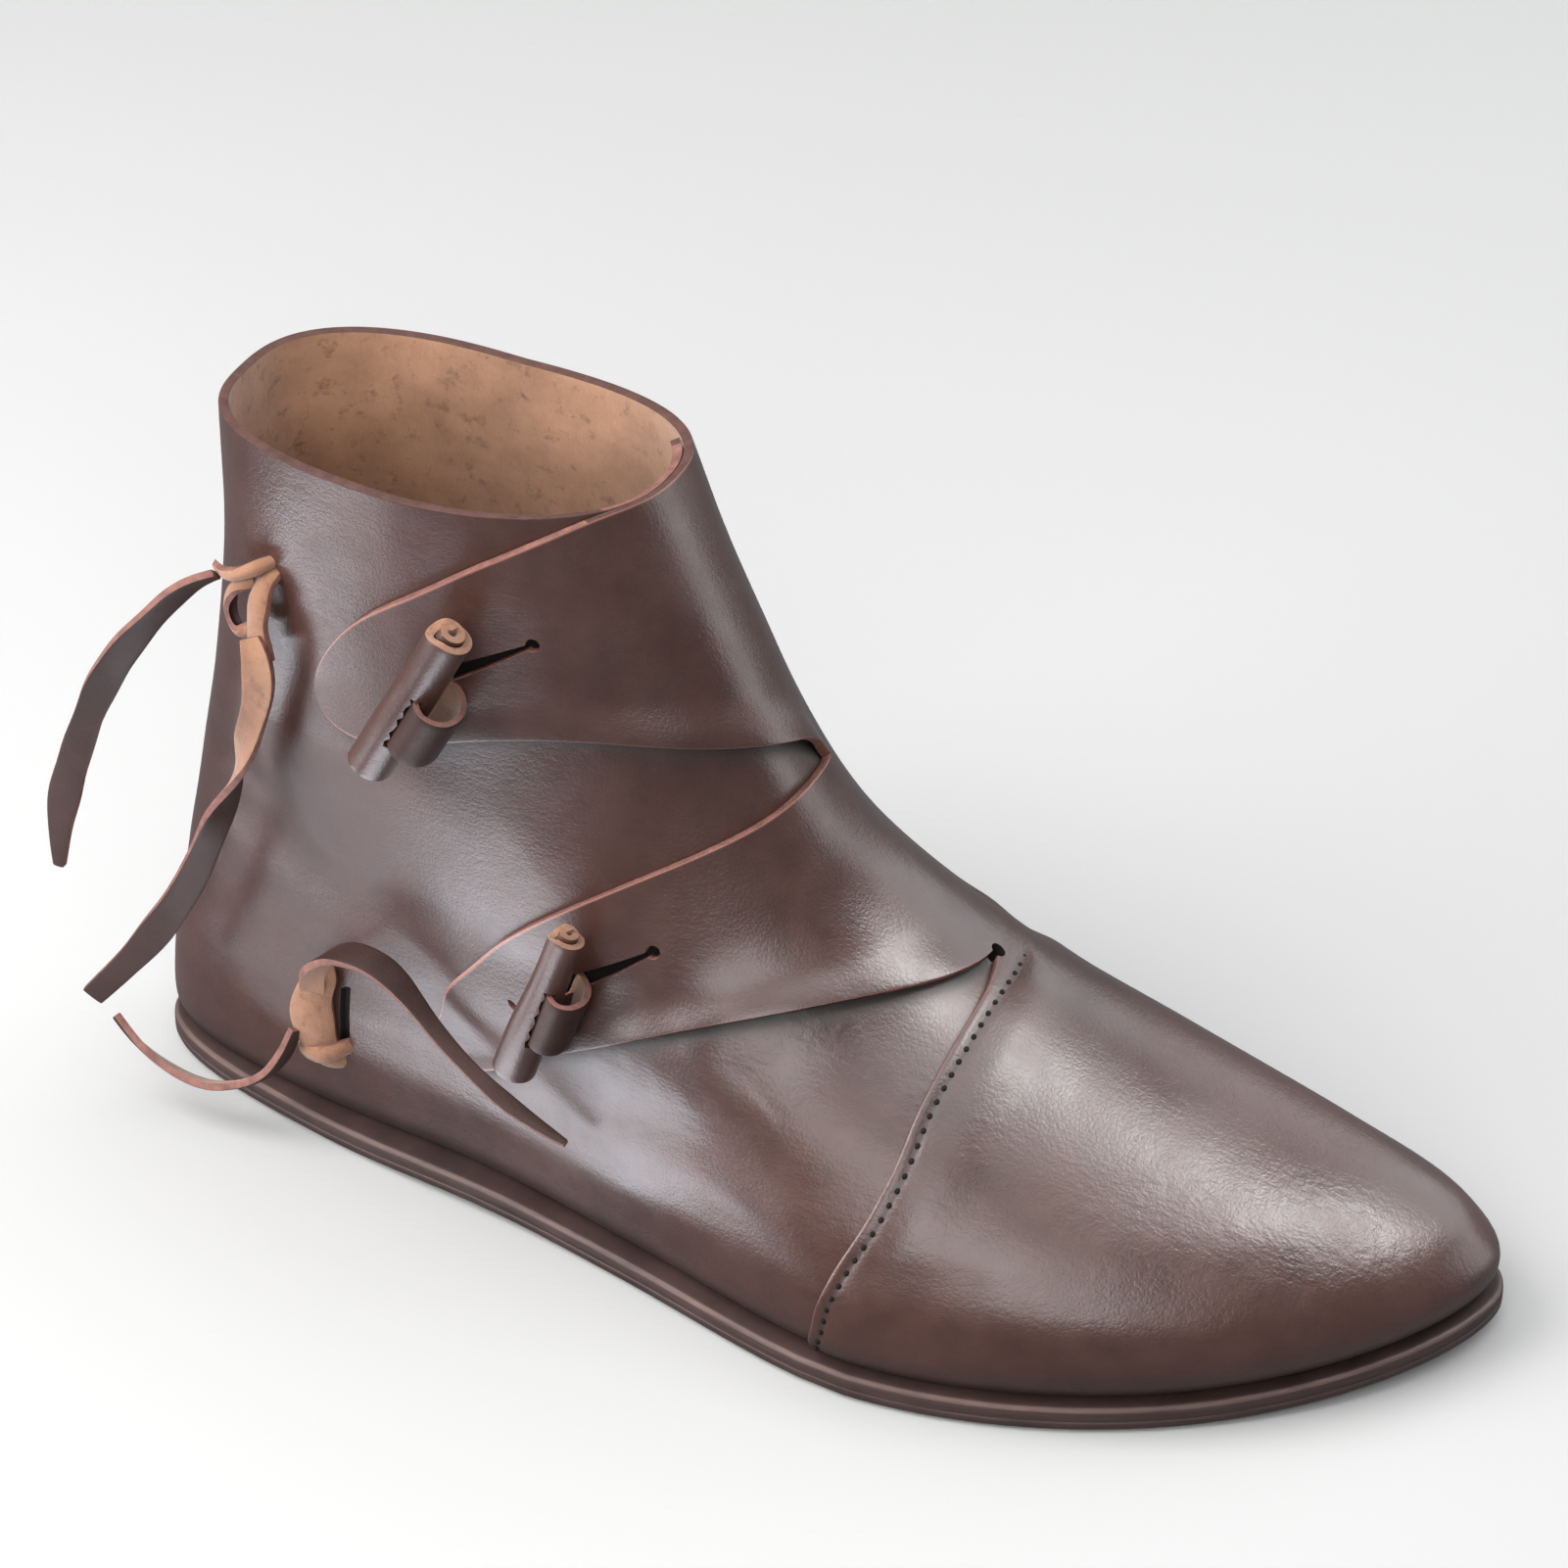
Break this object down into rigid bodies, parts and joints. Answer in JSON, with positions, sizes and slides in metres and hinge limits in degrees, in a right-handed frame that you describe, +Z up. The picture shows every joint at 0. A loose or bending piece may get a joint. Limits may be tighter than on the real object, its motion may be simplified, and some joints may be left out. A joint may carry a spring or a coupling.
{
  "type": "medieval boot",
  "caption": "Low medieval ankle boot for the right foot in brown leather, with two crossing flaps closed by rolled leather toggles, knotted thongs and a flat leather sole.",
  "frame": {"origin": "on the floor under the tread of the sole, where the forefoot begins", "axes": "+X towards the toe, +Y towards the inner side of the foot, +Z up"},
  "size_m": [0.3002, 0.0982, 0.1666],
  "materials": {
    "upper_leather": "smooth waxed brown, soft gloss",
    "sole_leather": "dense sole leather, matt",
    "flesh_leather": "tan flesh side, napped",
    "thong_leather": "brown strip, tan flesh side"
  },
  "bodies": {
    "root": {"outsole": "sole_leather", "insole": "flesh_leather", "upper": "upper_leather", "ankle_flap": "upper_leather", "instep_flap": "upper_leather", "ankle_toggle": "thong_leather", "instep_toggle": "thong_leather", "ankle_knot": "thong_leather", "ankle_tail_short": "thong_leather", "ankle_tail_long": "thong_leather", "heel_knot": "thong_leather", "heel_tail_short": "thong_leather", "heel_tail_long": "thong_leather"}
  },
  "joints": []
}
